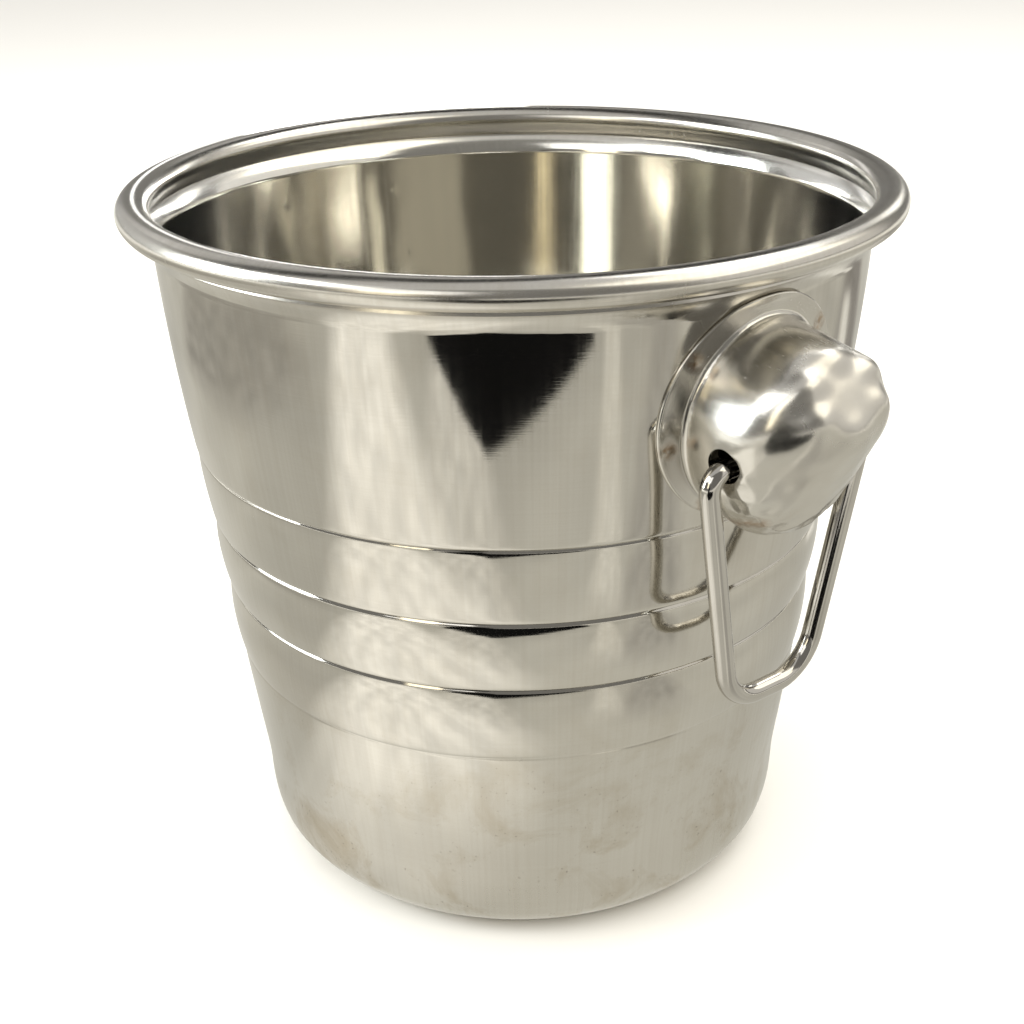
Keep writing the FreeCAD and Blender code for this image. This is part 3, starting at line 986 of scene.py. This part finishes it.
def painted_table_patch(name, place, turn, size, radiance, inner=0.0):
    """Soft-edged glowing card of painted light and shade on the table that only reflections meet: a ring if
    inner is given, else a band.
    """
    mesh = bpy.data.meshes.new(name)
    mesh.from_pydata([(-1, -1, 0), (1, -1, 0), (1, 1, 0), (-1, 1, 0)], [], [(0, 1, 2, 3)])
    obj = bpy.data.objects.new(name, mesh)
    bpy.context.scene.collection.objects.link(obj)
    heading = Matrix.Rotation(CAM_AZIMUTH + math.radians(turn), 4, "Z")
    spread = Matrix.Diagonal((size[0], size[1], 1, 1))
    obj.matrix_world = Matrix.Translation(around_view(*place)) @ heading @ spread
    mat = bpy.data.materials.new(name)
    mat.use_nodes = True
    tree = mat.node_tree
    tree.nodes.clear()
    net = Net(tree)
    place_in = net.add("ShaderNodeTexCoord").outputs["Object"]
    reach = net.add("ShaderNodeVectorMath", operation="LENGTH")
    net.link(place_in, reach.inputs[0])
    if inner:
        mask = net.range(reach.outputs["Value"], 0.55, 1.0, 1.0, 0.0)
        mask = net.math("MULTIPLY", mask, net.range(reach.outputs["Value"], inner, inner * 1.15, 0.0, 1.0))
    else:
        split = net.add("ShaderNodeSeparateXYZ")
        net.link(place_in, split.inputs[0])
        sides = net.range(net.math("ABSOLUTE", split.outputs[0]), 0.55, 1.0, 1.0, 0.0)
        ends = net.range(net.math("ABSOLUTE", split.outputs[1]), 0.75, 1.0, 1.0, 0.0)
        mask = net.math("MULTIPLY", sides, ends)
    # painted light: the card glows at the given radiance, a little uneven
    glow = net.add("ShaderNodeEmission")
    uneven = net.noise(place_in, 5.0, 2.0)
    dim = tuple(0.86 * c for c in radiance)
    bright = tuple(1.12 * c for c in radiance)
    net.link(net.mix(net.range(uneven, 0.35, 0.65, 0.0, 1.0), dim, bright), glow.inputs["Color"])
    blend = net.add("ShaderNodeMixShader")
    net.link(mask, blend.inputs[0])
    net.link(net.add("ShaderNodeBsdfTransparent").outputs[0], blend.inputs[1])
    net.link(glow.outputs[0], blend.inputs[2])
    net.link(blend.outputs[0], net.add("ShaderNodeOutputMaterial").inputs["Surface"])
    mesh.materials.append(mat)
    hide(obj, False)


# painted light and shade on the table, seen only in reflections: a ring of table light round the foot, a pool
# of bright glare, a paler patch, painted shade to the left and right, a bright streak, a band of shade and a
# gleam
painted_table_patch("painted_table_light_ring", (0, 0, 0.0012), 0, (1.3, 1.3), (0.68, 0.66, 0.59), 0.046)
painted_table_patch("painted_table_glare", (-0.215, -0.245, 0.0020), -48, (0.092, 0.26), (1.30, 1.26, 1.16))
painted_table_patch("painted_table_pale_light", (-0.090, -0.300, 0.0016), -17, (0.060, 0.20), (0.90, 0.87, 0.79))
painted_table_patch("painted_table_shade_left", (-0.47, 0.03, 0.0016), 0, (0.13, 0.26), (0.48, 0.46, 0.41))
painted_table_patch("painted_table_light_streak", (0.17, -0.34, 0.0020), 28, (0.022, 0.22), (0.92, 0.89, 0.80))
painted_table_patch("table_shade", (0.27, -0.30, 0.0016), 44, (0.045, 0.26), (0.54, 0.52, 0.47))
painted_table_patch("painted_table_shade_right", (0.48, 0.35, 0.0020), 125, (0.11, 0.22), (0.34, 0.32, 0.29))
painted_table_patch("table_gleam", (0.35, 0.22, 0.0024), 122, (0.035, 0.16), (1.10, 1.07, 0.98))


# panels face a point on the bucket's axis, no higher than this
AIM_HEIGHT = 0.12


def panel(name, azimuth, distance, height, width, tall, radiance, colour=(1, 1, 1)):
    """Soft light panel round the object: azimuth in degrees from the camera's side, radiance of its face."""
    turn = math.radians(azimuth)
    place = around_view(math.sin(turn) * distance, -math.cos(turn) * distance, height)
    power = radiance * math.pi * width * tall
    lamp = soft_light(name, place, Vector((0, 0, min(height, AIM_HEIGHT))), (width, tall), power, colour)
    lamp.visible_camera = False


world = bpy.data.worlds.new("studio")
bpy.context.scene.world = world
world.use_nodes = True
world.node_tree.nodes["Background"].inputs["Color"].default_value = (1.0, 0.97, 0.92, 1)
world.node_tree.nodes["Background"].inputs["Strength"].default_value = 0.24
panel("window", -87.5, 1.3, 0.64, 0.68, 1.05, 7.0, (0.93, 0.98, 1.0))
panel("window_high", -66, 1.3, 1.05, 0.6, 0.5, 5.0)
panel("front_high", -32, 1.3, 0.98, 0.8, 0.6, 1.6)
panel("left_back", -132, 1.5, 0.6, 1.0, 0.9, 0.4)
panel("back_left", -163.5, 1.3, 0.50, 0.10, 0.4, 2.3)
panel("back_right", 144, 1.3, 0.57, 0.26, 0.28, 2.2, (1.0, 0.99, 0.94))
panel("back_high", 136, 0.9, 1.40, 0.7, 0.6, 3.8)
panel("right_wall", 86, 1.6, 0.75, 2.5, 1.2, 0.62, (1.0, 0.97, 0.92))
panel("strip", -34, 1.2, 0.50, 0.26, 0.5, 2.2, (1.0, 0.90, 0.68))
panel("overhead", 180, 0.3, 1.5, 3.0, 3.0, 0.44)
panel("right_top", 82, 1.0, 1.30, 1.6, 1.1, 1.6, (1.0, 0.95, 0.82))


def rim_glow(name, right, up, width, tall, radiance):
    """Small glow just behind the far rim, met through the mouth."""
    lamp = soft_light(name, around_view(right, 0.135, up), around_view(right, 0.0, up - 0.025),
                      (width, tall), radiance * math.pi * width * tall)
    lamp.visible_camera = False


rim_glow("rim_glow", -0.045, 0.2045, 0.10, 0.017, 8.0)
WASH_SIDE = 12.0
WASH_RADIANCE = 0.88
wash = soft_light("floor_wash", around_view(0, 3.4, 2.2), around_view(0, 3.4, 0), (WASH_SIDE, WASH_SIDE),
                  WASH_RADIANCE * math.pi * WASH_SIDE ** 2)
wash.visible_camera = False
wash.visible_glossy = False
bpy.context.scene.view_settings.view_transform = "Standard"
